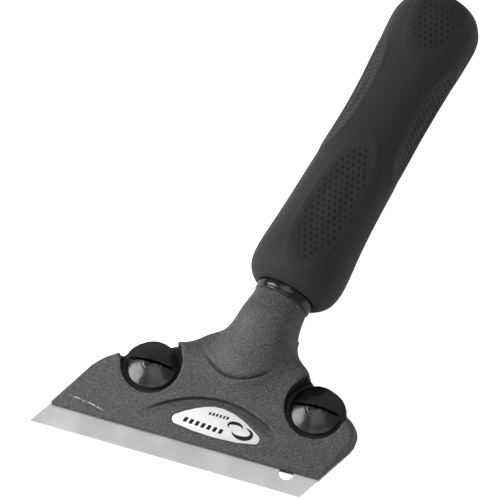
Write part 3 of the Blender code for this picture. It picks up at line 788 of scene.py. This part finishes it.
def fill_roots(mesh, points, edges, place, rounds):
    """Smooths the corners where neck, web and wedge meet, mostly by filling them."""
    x, y, z = place
    seam = Vector(SEAM)
    along = handle_place().to_3x3() @ Vector((0.0, 0.0, 1.0))
    behind = (x - seam.x) * along.x + (y - seam.y) * along.y + (z - seam.z) * along.z
    pockets = pocket_reach(x, y)
    root = smoothstep(-7.0, 3.0, y) * smoothstep(-0.3, -2.5, behind)
    root *= smoothstep(POCKET_RADIUS + 0.4, POCKET_RADIUS + 3.0, pockets) * smoothstep(3.2, 5.5, z)
    spine = seam.x + (y - seam.y) * math.tan(HANDLE_LEAN)
    round_off = 0.10 + 0.75 * smoothstep(6.5, 10.5, np.abs(x - spine)) * smoothstep(28.0, 20.0, y)
    for turn in range(rounds):
        if turn % NORMALS_EVERY == 0:
            write_points(mesh, points)
            normals = read_normals(mesh)
        pull = neighbour_pull(edges, points)
        outward = (pull * normals).sum(axis=1)
        share = np.where(outward > 0.0, FILL_SHARE, round_off) * root
        points += share[:, None] * pull


def blunt_tips(points, edges, place):
    """Rounds the sharp corners that stand beside the screw pockets."""
    x, y, z = place
    blunt = sum(smoothstep(wide, 0.35 * wide, np.hypot(x - tip_x, y - tip_y))
                for tip_x, tip_y, wide in POCKET_TIPS)
    blunt *= smoothstep(POCKET_FLOOR + 0.2, POCKET_FLOOR + 1.2, z)
    for _ in range(BLUNT_ROUNDS):
        points += 0.9 * blunt[:, None] * neighbour_pull(edges, points)


def widen_bosses(points, place):
    """Spreads the back of each pocket's floor outward, mostly sideways, under its screw."""
    x, y, z = place
    for side in (-SCREW_X, SCREW_X):
        reach = np.hypot(x - side, y)
        away = np.maximum(reach, 1.0)
        low = smoothstep(POCKET_FLOOR + 0.3, POCKET_FLOOR - 0.1, z) * smoothstep(-1.0, 1.5, y)
        grow = 1.5 * np.abs(x - side) / away * smoothstep(8.2, 9.2, reach) * low
        grow *= smoothstep(12.0, 10.5, reach)
        points[:, 0] += grow * (x - side) / away * MM
        points[:, 1] += grow * y / away * MM


def pocket_reach(x, y):
    """Distance in plan from the nearer screw's axis."""
    return np.minimum(np.hypot(x + SCREW_X, y), np.hypot(x - SCREW_X, y))


def cast_surface(settings):
    """Even quads over the cast head, its roots filled, its tips blunt and its pockets marked for
    painted shade.
    """
    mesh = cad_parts["head_body"].data.copy()
    face_outward(mesh)
    piece = new_object("head_casting", mesh)
    remesh = piece.modifiers.new("even_faces", "REMESH")
    remesh.mode = "VOXEL"
    remesh.voxel_size = settings.detail
    mesh = settle(piece)
    edges = read_edges(mesh)
    points = read_points(mesh)
    place = (points / MM).T
    fill_roots(mesh, points, edges, place, settings.fillet_rounds)
    blunt_tips(points, edges, place)
    widen_bosses(points, place)
    x, y, z = place
    # Marks the screw pockets, where the enamel gets painted shade
    inside = smoothstep(11.35, 11.05, pocket_reach(x, y))
    store(mesh, "pocket", inside * smoothstep(3.2, 4.4, z))
    return piece, mesh, points


def cut_creases(points, normals, settings):
    """Cuts the arched step and the neck's crease, leans the end walls and eases the web outward.

    Gives back how deep in shadow each point's crease lies.
    """
    x, y, z = (points / MM).T
    upward = smoothstep(0.35, 0.75, normals[:, 2])
    arch = y - (ARCH_Y - ARCH_BEND * (x - ARCH_X) ** 2)
    fade = smoothstep(-30.0, -22.0, x) * smoothstep(22.0, 15.0, x)
    ramp = smoothstep(-3.2, -0.3, arch) * smoothstep(0.45, 0.0, arch)
    lip = np.exp(-((arch - 1.0) / 0.9) ** 2)
    step = (-ramp * settings.arch_depth + 0.12 * MM * lip) * fade
    nose = y - (NOSE_Y + NOSE_BEND * (x - NOSE_X) ** 2)
    near = smoothstep(13.5, 9.0, np.abs(x - NOSE_X))
    groove = np.exp(-(nose / 0.4) ** 2) * settings.crease_depth
    swell = np.exp(-((nose - 1.7) / 1.2) ** 2) * 0.2 * MM
    points[:, 2] += upward * (step + (swell - groove) * near)
    shadow = np.exp(-((arch + 0.05) / (0.2 + 0.28 * fade)) ** 4) * fade
    shadow = np.maximum(shadow, np.exp(-(nose / 0.42) ** 4) * near) * upward
    lean = settings.side_draft * np.clip(z - 3.5, 0.0, None)
    left = x - (HEAD_LEFT_X + (y - HEAD_FRONT_Y) * math.tan(BLADE_SKEW))
    right = (HEAD_RIGHT_X + (y - HEAD_FRONT_Y) * math.tan(BLADE_SKEW)) - x
    front = smoothstep(4.0, -1.0, y)
    points[:, 0] += lean * smoothstep(6.0, 0.5, left) * front * MM
    points[:, 0] -= lean * smoothstep(6.0, 0.5, right) * front * MM
    for centre, push, reach in WEB_PUSHES:
        near = np.exp(-(np.hypot(x - centre[0], y - centre[1]) / reach) ** 2)[:, None]
        points[:, :2] += near * np.array(push) * MM
    return shadow


def seat_label(points, normals):
    """Presses the casting down under the label leaf."""
    x, y, _ = (points / MM).T
    under = inside_outline(x, y, leaf_outline(0.15)) & (normals[:, 2] > 0.5)
    floor = (wedge_height(y) - LABEL_SINK) * MM
    points[under, 2] = floor[under]


class SCRAPER_OT_head(bpy.types.Operator):
    """Build the painted head casting with its filled roots and creases"""

    bl_idname = "scraper.head"
    bl_label = "Head casting"

    def execute(self, context):
        settings = context.scene.scraper_head
        piece, mesh, points = cast_surface(settings)
        write_points(mesh, points)
        # The crease mask gives painted shade along the arched step and the neck's crease
        store(mesh, "crease", cut_creases(points, read_normals(mesh), settings))
        write_points(mesh, points)
        store_edge_wear(mesh, settings.detail * 0.35)
        seat_label(points, read_normals(mesh))
        write_points(mesh, points)
        mesh.shade_smooth()
        enamel = hammered_paint(context.scene.scraper_finish)
        dress(piece, "head", enamel, "head_body")
        return {"FINISHED"}


def label_slab(name, outline, low, high):
    """A thin slab over an outline in plan, following the head's slope, in millimetres."""
    count = len(outline)
    vertices = []
    for offset in (low, high):
        for x, y in outline:
            vertices.append((x * MM, y * MM, (wedge_height(y) + offset) * MM))
    faces = [list(range(count))[::-1], list(range(count, 2 * count))]
    for step in range(count):
        after = (step + 1) % count
        faces.append([step, after, count + after, count + step])
    mesh = bpy.data.meshes.new(name)
    mesh.from_pydata(vertices, [], faces)
    return mesh


def bar(centre, size):
    """Four corners of a slanted bar in plan."""
    x, y = centre
    half, tall = size[0] / 2.0, size[1] / 2.0
    slip = 0.35 * tall
    return [(x - half - slip, y - tall), (x + half - slip, y - tall),
            (x + half + slip, y + tall), (x - half + slip, y + tall)]


def crescent(centre, half_width, half_height, width, start, end):
    """Outline of a plain curved stroke that thins to both ends."""
    outer = []
    inner = []
    for step in range(25):
        angle = math.radians(start + (end - start) * step / 24.0)
        thin = width * math.sin(math.pi * step / 24.0) * 0.5 + 0.03
        x, y = math.cos(angle), math.sin(angle)
        outer.append((centre[0] + (half_width + thin) * x, centre[1] + (half_height + thin) * y))
        inner.append((centre[0] + (half_width - thin) * x, centre[1] + (half_height - thin) * y))
    return outer + inner[::-1]


class SCRAPER_OT_label(bpy.types.Operator):
    """Build the silver label leaf and its plain printed bars"""

    bl_idname = "scraper.label"
    bl_label = "Label"

    def execute(self, context):
        finish = context.scene.scraper_finish
        mesh = label_slab("label_leaf", leaf_outline(0.0), -0.30, 0.05)
        face_outward(mesh)
        leaf = new_object("label_leaf", mesh)
        round_edges(leaf, "rolled_edge", 0.09, 50.0)
        smooth_faces(settle(leaf), 40.0)
        dress(leaf, "head", label_film(finish), "label_plate")
        shell = bmesh.new()
        bars = [bar((-12.6 + 2.2 * step, -16.3 - 0.12 * step), (1.3, 1.7)) for step in range(7)]
        bars += [bar((-4.8 + 1.3 * step, -12.1), (0.75, 1.0)) for step in range(6)]
        bars += [crescent((7.9, -15.5), 3.6, 1.9, 1.5, -170.0, 75.0),
                 crescent((5.2, -14.2), 2.6, 1.2, 1.1, -10.0, 225.0)]
        for outline in bars:
            mark = label_slab("mark", outline, 0.02, 0.09)
            shell.from_mesh(mark)
            bpy.data.meshes.remove(mark)
        mesh = end_shell(shell, "label_bars")
        face_outward(mesh)
        ink = dull_black("label_ink", 0.003, 0.6)
        dress(new_object("label_bars", mesh), "head", ink)
        return {"FINISHED"}


def screw_profile(radius):
    """Radii and heights of a screw: rounded crown, creased cone, upright rim and shank."""
    return [(0.0, 4.34), (1.2, 4.30), (2.2, 4.18), (2.9, 4.02), (3.3, 3.88), (3.42, 3.80),
            (3.56, 3.79), (4.2, 3.56), (5.0, 3.22), (5.9, 2.80), (6.8, 2.34), (7.7, 1.84),
            (radius - 0.75, 1.42), (radius - 0.30, 1.22), (radius - 0.10, 1.08),
            (radius - 0.08, 0.98), (radius - 0.24, 0.88), (radius - 0.24, 0.12),
            (radius - 0.35, 0.0), (SHANK_RADIUS, 0.0), (SHANK_RADIUS, SHANK_END + 0.25),
            (SHANK_RADIUS - 0.25, SHANK_END), (0.0, SHANK_END)]


def slot_cutter(settings):
    """A long rounded block as wide as the coin slot."""
    shell = bmesh.new()
    bmesh.ops.create_cube(shell, size=1.0)
    top = SLOT_TOP * MM
    for corner in shell.verts:
        corner.co.x *= 24.0 * MM
        corner.co.y *= settings.slot_width
        corner.co.z = top - settings.slot_depth if corner.co.z < 0.0 else top + 3.0 * MM
    low = [edge for edge in shell.edges
           if all(corner.co.z < top for corner in edge.verts) and
           abs(edge.verts[0].co.x - edge.verts[1].co.x) > 1.0 * MM]
    bmesh.ops.bevel(shell, geom=low, offset=0.25 * MM, segments=2, affect="EDGES")
    return new_object("slot_cutter", end_shell(shell, "slot_cutter"))


class SCRAPER_OT_screws(bpy.types.Operator):
    """Build the two slotted clamp screws with serrated rims"""

    bl_idname = "scraper.screws"
    bl_label = "Clamp screws"

    def execute(self, context):
        settings = context.scene.scraper_screws
        black = gloss_black("screw_gloss", context.scene.scraper_finish, 0.22, 0.25)
        tree = serration_tree()
        cutter = slot_cutter(settings)
        for side, x in (("left", -SCREW_X), ("right", SCREW_X)):
            mesh = lathe(side + "_screw", screw_profile(settings.head_radius / MM), 96,
                         Matrix.Identity(4))
            screw = new_object(side + "_screw", mesh)
            slot = screw.modifiers.new("coin_slot", "BOOLEAN")
            slot.operation = "DIFFERENCE"
            slot.solver = "EXACT"
            slot.object = cutter
            round_edges(screw, "slot_edges", 0.12, 55.0)
            smooth_faces(settle(screw))
            store_edge_wear(screw.data, 0.25 * MM)
            # Marks the coin slot, where the gloss black gets painted shade
            _, offset, height = read_points(screw.data).T
            inside = (np.abs(offset) < settings.slot_width / 2.0 + 0.03 * MM) & (height > 1.35 * MM)
            store(screw.data, "slot", inside.astype(float))
            mesh = apply_tree(screw, tree, {
                "Count": settings.tooth_count,
                "Rim Radius": settings.head_radius - 0.27 * MM,
                "Tooth Width": settings.tooth_width,
                "Tooth Height": 0.84 * MM,
                "Centre": (0.0, 0.0, 0.10 * MM),
                "Material": black})
            mesh.transform(Matrix.Translation(Vector((x, 0.0, SCREW_SEAT)) * MM))
            dress(screw, side + "_screw", black, side + "_clamp_screw")
        bpy.data.objects.remove(cutter)
        return {"FINISHED"}


class SCRAPER_OT_collar(bpy.types.Operator):
    """Build the glossy collar between the neck and the grip"""

    bl_idname = "scraper.collar"
    bl_label = "Neck collar"

    def execute(self, context):
        profile = [(COLLAR_BORE, 0.12), (9.95, 0.12), (10.35, 0.22), (10.6, 0.5), (10.66, 0.85),
                   (10.5, 1.05), (10.5, 1.25), (10.68, 1.45), (10.7, 2.6), (10.7, 4.2),
                   (10.66, 6.4), (10.5, 6.85), (10.2, 6.98), (COLLAR_BORE, 6.98)]
        mesh = lathe("collar_ring", profile, 128, handle_place())
        smooth_faces(mesh, 50.0)
        store_edge_wear(mesh, 0.3 * MM)
        black = gloss_black("collar_gloss", context.scene.scraper_finish, 0.12, 0.05)
        dress(new_object("collar_ring", mesh), "head", black, "neck_collar")
        return {"FINISHED"}


def sleeve_line():
    """Radius against distance along the grip, evenly spaced and softly rounded."""
    stations = [(0.0, 12.4), (0.5, 13.3), (2.2, 15.2), (4.4, 16.5), (7.6, 17.2), (11.5, 17.4),
                (17.0, 17.0), (24.0, 16.4), (34.0, 15.9), (47.0, 15.5), (62.0, 15.3),
                (77.0, 15.3), (91.0, 15.5), (102.0, 16.0), (110.0, 16.5), (DOME_START, DOME_RADIUS)]
    for step in range(1, 19):
        angle = math.radians(5.0 * step)
        stations.append((DOME_START + (GRIP_LENGTH - DOME_START) * math.sin(angle),
                         DOME_MOUTH + (DOME_RADIUS - DOME_MOUTH) * math.cos(angle)))
    line = np.array(stations)
    for _ in range(3):
        line = resample(line, 0.4)
        inner = (line[:-2] + 2.0 * line[1:-1] + line[2:]) / 4.0
        for _ in range(6):
            inner[1:-1] = (inner[:-2] + 2.0 * inner[1:-1] + inner[2:]) / 4.0
        line[1:-1] = inner
    return resample(line, GRIP_STEP)


def resample(line, spacing):
    """The same path with its points evenly spaced."""
    steps = np.hypot(*np.diff(line, axis=0).T)
    travel = np.concatenate(([0.0], np.cumsum(steps)))
    count = int(round(travel[-1] / spacing)) + 1
    wanted = np.linspace(0.0, travel[-1], count)
    return np.stack([np.interp(wanted, travel, line[:, axis]) for axis in (0, 1)], axis=1)


def panel_field(height, angle):
    """How far each point lies from the middle of its nearest panel: 1 on the panel's rim."""
    nearest = np.full(height.shape, 9.0)
    for middle, half_length, half_angle, places in PANEL_RINGS:
        for place in places:
            off = (angle - place + 180.0) % 360.0 - 180.0
            reach = np.hypot((height - middle) / half_length, off / half_angle)
            nearest = np.minimum(nearest, reach)
    return nearest


class SCRAPER_OT_grip(bpy.types.Operator):
    """Build the soft grip with its recessed, pitted panels"""

    bl_idname = "scraper.grip"
    bl_label = "Rubber grip"

    def execute(self, context):
        settings = context.scene.scraper_grip
        line = sleeve_line()
        columns = 6 * settings.pit_columns
        turn = np.arange(columns) / columns
        heights, radii = line.T
        slope = np.gradient(radii) / np.hypot(np.gradient(radii), np.gradient(heights))
        field = panel_field(*np.meshgrid(heights, 360.0 * turn, indexing="ij"))
        fade = smoothstep(1.0, 6.0, heights) * smoothstep(GRIP_LENGTH - 1.5, 121.0, heights)
        bowl = smoothstep(1.04, 0.45, field) * fade[:, None]
        rim = np.exp(-((field - 1.12) / 0.11) ** 2) * fade[:, None]
        lift = (rim * settings.rim_height - bowl * settings.panel_depth) / MM
        across = radii[:, None] + lift * np.sqrt(1.0 - slope ** 2)[:, None]
        upward = heights[:, None] - lift * slope[:, None]
        inside = [(PLUG_MOUTH, GRIP_LENGTH), (PLUG_MOUTH, 126.2), (GRIP_BORE, 126.2),
                  (GRIP_BORE, 3.3), (10.85, 3.3), (10.85, 0.0)]
        for radius, height in inside:
            across = np.vstack((across, np.full(columns, radius)))
            upward = np.vstack((upward, np.full(columns, height)))
        rows = len(across)
        angle = 2.0 * math.pi * turn
        points = np.stack((-across * np.sin(angle), across * np.cos(angle),
                           upward + GRIP_START), axis=2).reshape(-1, 3) * MM
        first = np.arange(rows * columns).reshape(rows, columns)
        beside = np.roll(first, -1, axis=1)
        above = np.roll(first, -1, axis=0)
        corner = np.roll(above, -1, axis=1)
        faces = np.stack((first, beside, corner, above), axis=2).reshape(-1, 4)
        mesh = bpy.data.meshes.new("grip_sleeve")
        mesh.from_pydata(points.tolist(), [], faces.tolist())
        mesh.transform(handle_place())
        outer = len(heights)
        pad = rows - outer
        travel = np.arange(outer) * GRIP_STEP * MM
        store(mesh, "along", np.pad(np.repeat(travel, columns), (0, pad * columns)))
        store(mesh, "around", np.tile(turn, rows))
        store(mesh, "girth", 2.0 * math.pi * across.ravel() * MM)
        mask = smoothstep(1.0, 0.9, field) * fade[:, None]
        store(mesh, "panel", np.pad(mask.ravel(), (0, pad * columns)))
        face_outward(mesh)
        sleeve = new_object("grip_sleeve", mesh)
        rubber = soft_rubber(context.scene.scraper_finish)
        mesh = apply_tree(sleeve, pit_tree(), {
            "Columns": settings.pit_columns,
            "Row Spacing": settings.pit_spacing,
            "Pit Radius": settings.pit_radius,
            "Pit Depth": settings.pit_depth,
            "Material": rubber})
        smooth_faces(mesh, 60.0)
        dress(sleeve, "head", rubber, "rubber_grip")
        return {"FINISHED"}


class SCRAPER_OT_metalwork(bpy.types.Operator):
    """Finish the blade, the plate and the small parts that keep their shape, and turn the plug"""

    bl_idname = "scraper.metalwork"
    bl_label = "Blade, plate and small parts"

    def execute(self, context):
        finish = context.scene.scraper_finish
        steel = [tuple(finish.steel), [0.93 * part for part in finish.steel]]
        repaint(rolled_steel("blade_satin", steel, 0.34, 0.00022, bevel=True), "blade")
        repaint(dull_black("washer_oxide", 0.010, 0.42), "left_screw_washer", "right_screw_washer")
        metals = {
            "plate_blackened": ((0.10, 0.10, 0.105), (0.16, 0.16, 0.165), 0.42, 0.0003,
                                ("clamp_plate",)),
            "insert_brass": ((0.56, 0.42, 0.17), (0.44, 0.32, 0.12), 0.3, 0.0002,
                             ("left_thread_insert", "right_thread_insert")),
            "ring_spring_steel": ((0.30, 0.30, 0.31), (0.22, 0.22, 0.23), 0.35, 0.0002,
                                  ("left_retaining_ring", "right_retaining_ring")),
            "fastener_zinc": ((0.55, 0.56, 0.58), (0.43, 0.44, 0.46), 0.3, 0.0003,
                              ("tang_washer", "tang_nut")),
            "tang_steel": ((0.46, 0.46, 0.47), (0.36, 0.36, 0.37), 0.36, 0.0003, ("tang_rod",)),
        }
        for name, (first, second, roughness, line_width, nodes) in metals.items():
            repaint(rolled_steel(name, (first, second), roughness, line_width), *nodes)
        nylon = dull_black("core_nylon", 0.014, 0.5)
        repaint(nylon, "handle_core")
        end = GRIP_START + GRIP_LENGTH
        profile = [(0.0, end - 0.75), (2.2, end - 0.72), (4.6, end - 0.5), (5.6, end - 0.3),
                   (5.9, end - 0.62), (6.3, end - 0.62), (6.6, end - 0.2), (7.4, end - 0.04),
                   (8.1, end), (8.45, end - 0.12), (8.6, end - 0.4), (8.6, end - 2.4),
                   (7.85, end - 2.4), (7.85, end - 6.4), (0.0, end - 6.4)]
        mesh = lathe("plug_cap", profile, 96, handle_place())
        smooth_faces(mesh, 50.0)
        dress(new_object("plug_cap", mesh), "head", nylon, "end_plug")
        return {"FINISHED"}


# ---------------------------------------------------------------- stage

def softbox(name, direction, distance, size, power):
    """A rectangular area light that faces the middle of the scraper."""
    lamp = bpy.data.lights.new(name, "AREA")
    lamp.shape = "RECTANGLE"
    lamp.size, lamp.size_y = size
    lamp.energy = power
    holder = bpy.data.objects.new(name, lamp)
    bpy.context.scene.collection.objects.link(holder)
    middle = Vector(STAGE_MIDDLE) * MM
    holder.location = middle + Vector(direction).normalized() * distance
    holder.rotation_mode = "QUATERNION"
    holder.rotation_quaternion = Vector(direction).to_track_quat("Z", "Y")


class SCRAPER_OT_stage(bpy.types.Operator):
    """Lay the pale floor and set the soft lights and the camera"""

    bl_idname = "scraper.stage"
    bl_label = "Stage"

    def execute(self, context):
        settings = context.scene.scraper_stage
        scene = context.scene
        shell = bmesh.new()
        bmesh.ops.create_grid(shell, x_segments=8, y_segments=8, size=4.0)
        mesh = end_shell(shell, "floor")
        mesh.transform(Matrix.Translation((0.0, 0.0, -FLOOR_GAP * MM)))
        floor = new_object("floor", mesh)
        paper, recipe, shader = new_material("floor_paper", Roughness=0.9)
        grain = place_grain(recipe, 2.0, 300.0)
        shade = [0.98 * part for part in settings.floor]
        tone = recipe.blend(grain["Patches"], settings.floor, shade)
        recipe.feed(shader, "Base Color", tone)
        recipe.feed(shader, "Emission Color", (1.0, 1.0, 1.0, 1.0))
        seen = recipe.add("ShaderNodeLightPath").outputs["Is Camera Ray"]
        recipe.feed(shader, "Emission Strength", recipe.times(seen, 0.85))
        floor.data.materials.append(paper)

        softbox("side_softbox", (-0.78, -0.30, 0.56), 0.45, (0.32, 0.26), settings.side_light)
        softbox("top_softbox", (0.1, -0.2, 1.0), 1.1, (0.9, 0.9), settings.top_light)
        world = bpy.data.worlds.new("even_room")
        world.use_nodes = True
        background = world.node_tree.nodes["Background"]
        background.inputs["Color"].default_value = (1.0, 1.0, 1.0, 1.0)
        background.inputs["Strength"].default_value = settings.room
        scene.world = world
        scene.view_settings.view_transform = "Standard"

        lens = bpy.data.cameras.new("bench_camera")
        lens.lens = CAMERA_LENS
        lens.sensor_width = 36.0
        lens.clip_start = 0.05
        lens.clip_end = 20.0
        camera = bpy.data.objects.new("bench_camera", lens)
        scene.collection.objects.link(camera)
        back = Vector(CAMERA_BACK).normalized()
        right = Vector(CAMERA_RIGHT).normalized()
        up = back.cross(right)
        turn = Matrix((right, up, back)).transposed().to_4x4()
        camera.matrix_world = Matrix.Translation(Vector(CAMERA_PLACE) * MM) @ turn
        scene.camera = camera
        return {"FINISHED"}


# ---------------------------------------------------------------- panel and registration

SETTINGS = {
    "scraper_head": HeadSettings,
    "scraper_screws": ScrewSettings,
    "scraper_grip": GripSettings,
    "scraper_finish": FinishSettings,
    "scraper_stage": StageSettings,
}
STEPS = (SCRAPER_OT_stage, SCRAPER_OT_head, SCRAPER_OT_label, SCRAPER_OT_screws,
         SCRAPER_OT_collar, SCRAPER_OT_grip, SCRAPER_OT_metalwork)


class SCRAPER_PT_panel(bpy.types.Panel):
    """Sidebar panel that lists the scraper's settings and steps"""

    bl_idname = "SCRAPER_PT_panel"
    bl_label = "Floor Scraper"
    bl_space_type = "VIEW_3D"
    bl_region_type = "UI"
    bl_category = "Scraper"

    def draw(self, context):
        for key, group in SETTINGS.items():
            box = self.layout.box()
            box.label(text=group.__name__.replace("Settings", ""))
            for name in group.__annotations__:
                box.prop(getattr(context.scene, key), name)
        for step in STEPS:
            self.layout.operator(step.bl_idname)


def register():
    """Registers the settings, the steps and the panel."""
    for key, group in SETTINGS.items():
        bpy.utils.register_class(group)
        setattr(bpy.types.Scene, key, PointerProperty(type=group))
    for step in STEPS:
        bpy.utils.register_class(step)
    bpy.utils.register_class(SCRAPER_PT_panel)


def unregister():
    """Takes the panel, the steps and the settings out again."""
    bpy.utils.unregister_class(SCRAPER_PT_panel)
    for step in reversed(STEPS):
        bpy.utils.unregister_class(step)
    for key, group in reversed(SETTINGS.items()):
        delattr(bpy.types.Scene, key)
        bpy.utils.unregister_class(group)


def main():
    """Builds the scraper."""
    register()
    bpy.ops.scraper.stage()
    bpy.ops.scraper.head()
    bpy.ops.scraper.label()
    bpy.ops.scraper.screws()
    bpy.ops.scraper.collar()
    bpy.ops.scraper.grip()
    bpy.ops.scraper.metalwork()


if __name__ == "__main__":
    main()
